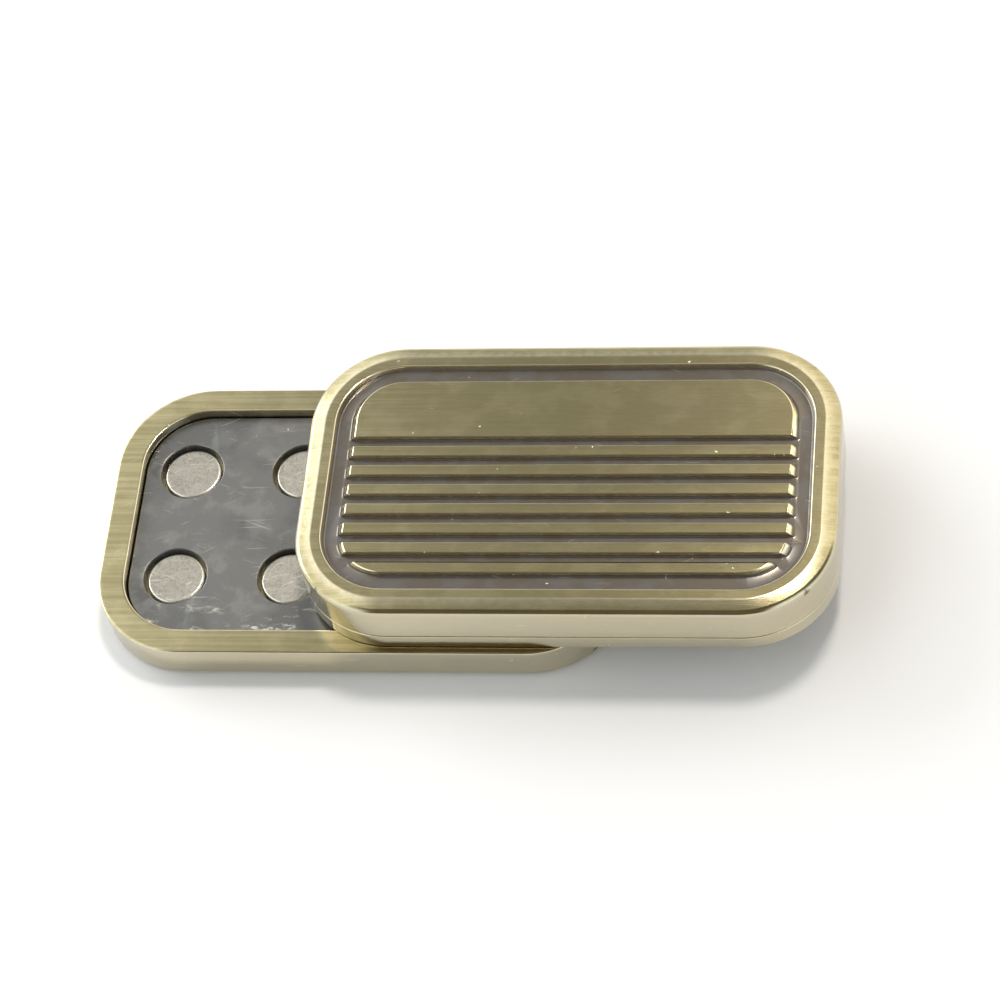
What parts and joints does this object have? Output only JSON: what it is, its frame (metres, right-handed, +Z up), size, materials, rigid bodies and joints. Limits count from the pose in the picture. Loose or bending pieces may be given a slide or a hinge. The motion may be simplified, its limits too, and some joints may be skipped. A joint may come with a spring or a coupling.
{
  "type": "magnetic push slider",
  "caption": "Pocket fidget of two ribbed metal plates with rounded corners, held face to face by disc magnets and pushed past each other with a thumb.",
  "frame": {"origin": "bottom centre of the slider's box, half open as it lies on a table", "axes": "+X along the halves, towards the one that is pushed out; +Z up, through the two halves; +Y towards the wide pad on the upper half"},
  "size_m": [0.0756, 0.0326, 0.0112],
  "materials": {
    "antique_brass": "antique brass, brushed along the length, dark patina in the sunk floors, edges rubbed bright",
    "dark_plate": "dark patinated metal plate, half gloss, lightly scratched",
    "magnet_nickel": "nickel plated disc magnet, dull and mottled with wear"
  },
  "bodies": {
    "lower_half": {"lower_shell": "antique_brass", "lower_magnet_plate": "dark_plate", "lower_magnet_1": "magnet_nickel", "lower_magnet_2": "magnet_nickel", "lower_magnet_3": "magnet_nickel", "lower_magnet_4": "magnet_nickel", "lower_magnet_5": "magnet_nickel", "lower_magnet_6": "magnet_nickel", "lower_magnet_7": "magnet_nickel", "lower_magnet_8": "magnet_nickel"},
    "upper_half": {"upper_shell": "antique_brass", "upper_edge_frame": "antique_brass", "upper_magnet_plate": "dark_plate", "upper_magnet_1": "magnet_nickel", "upper_magnet_2": "magnet_nickel", "upper_magnet_3": "magnet_nickel", "upper_magnet_4": "magnet_nickel", "upper_magnet_5": "magnet_nickel", "upper_magnet_6": "magnet_nickel", "upper_magnet_7": "magnet_nickel", "upper_magnet_8": "magnet_nickel"}
  },
  "joints": [
    {"name": "slide", "type": "slide", "parent": "lower_half", "child": "upper_half", "axis": [0.9995, 0.0324, 0], "range_m": [-0.04322, 0]}
  ]
}
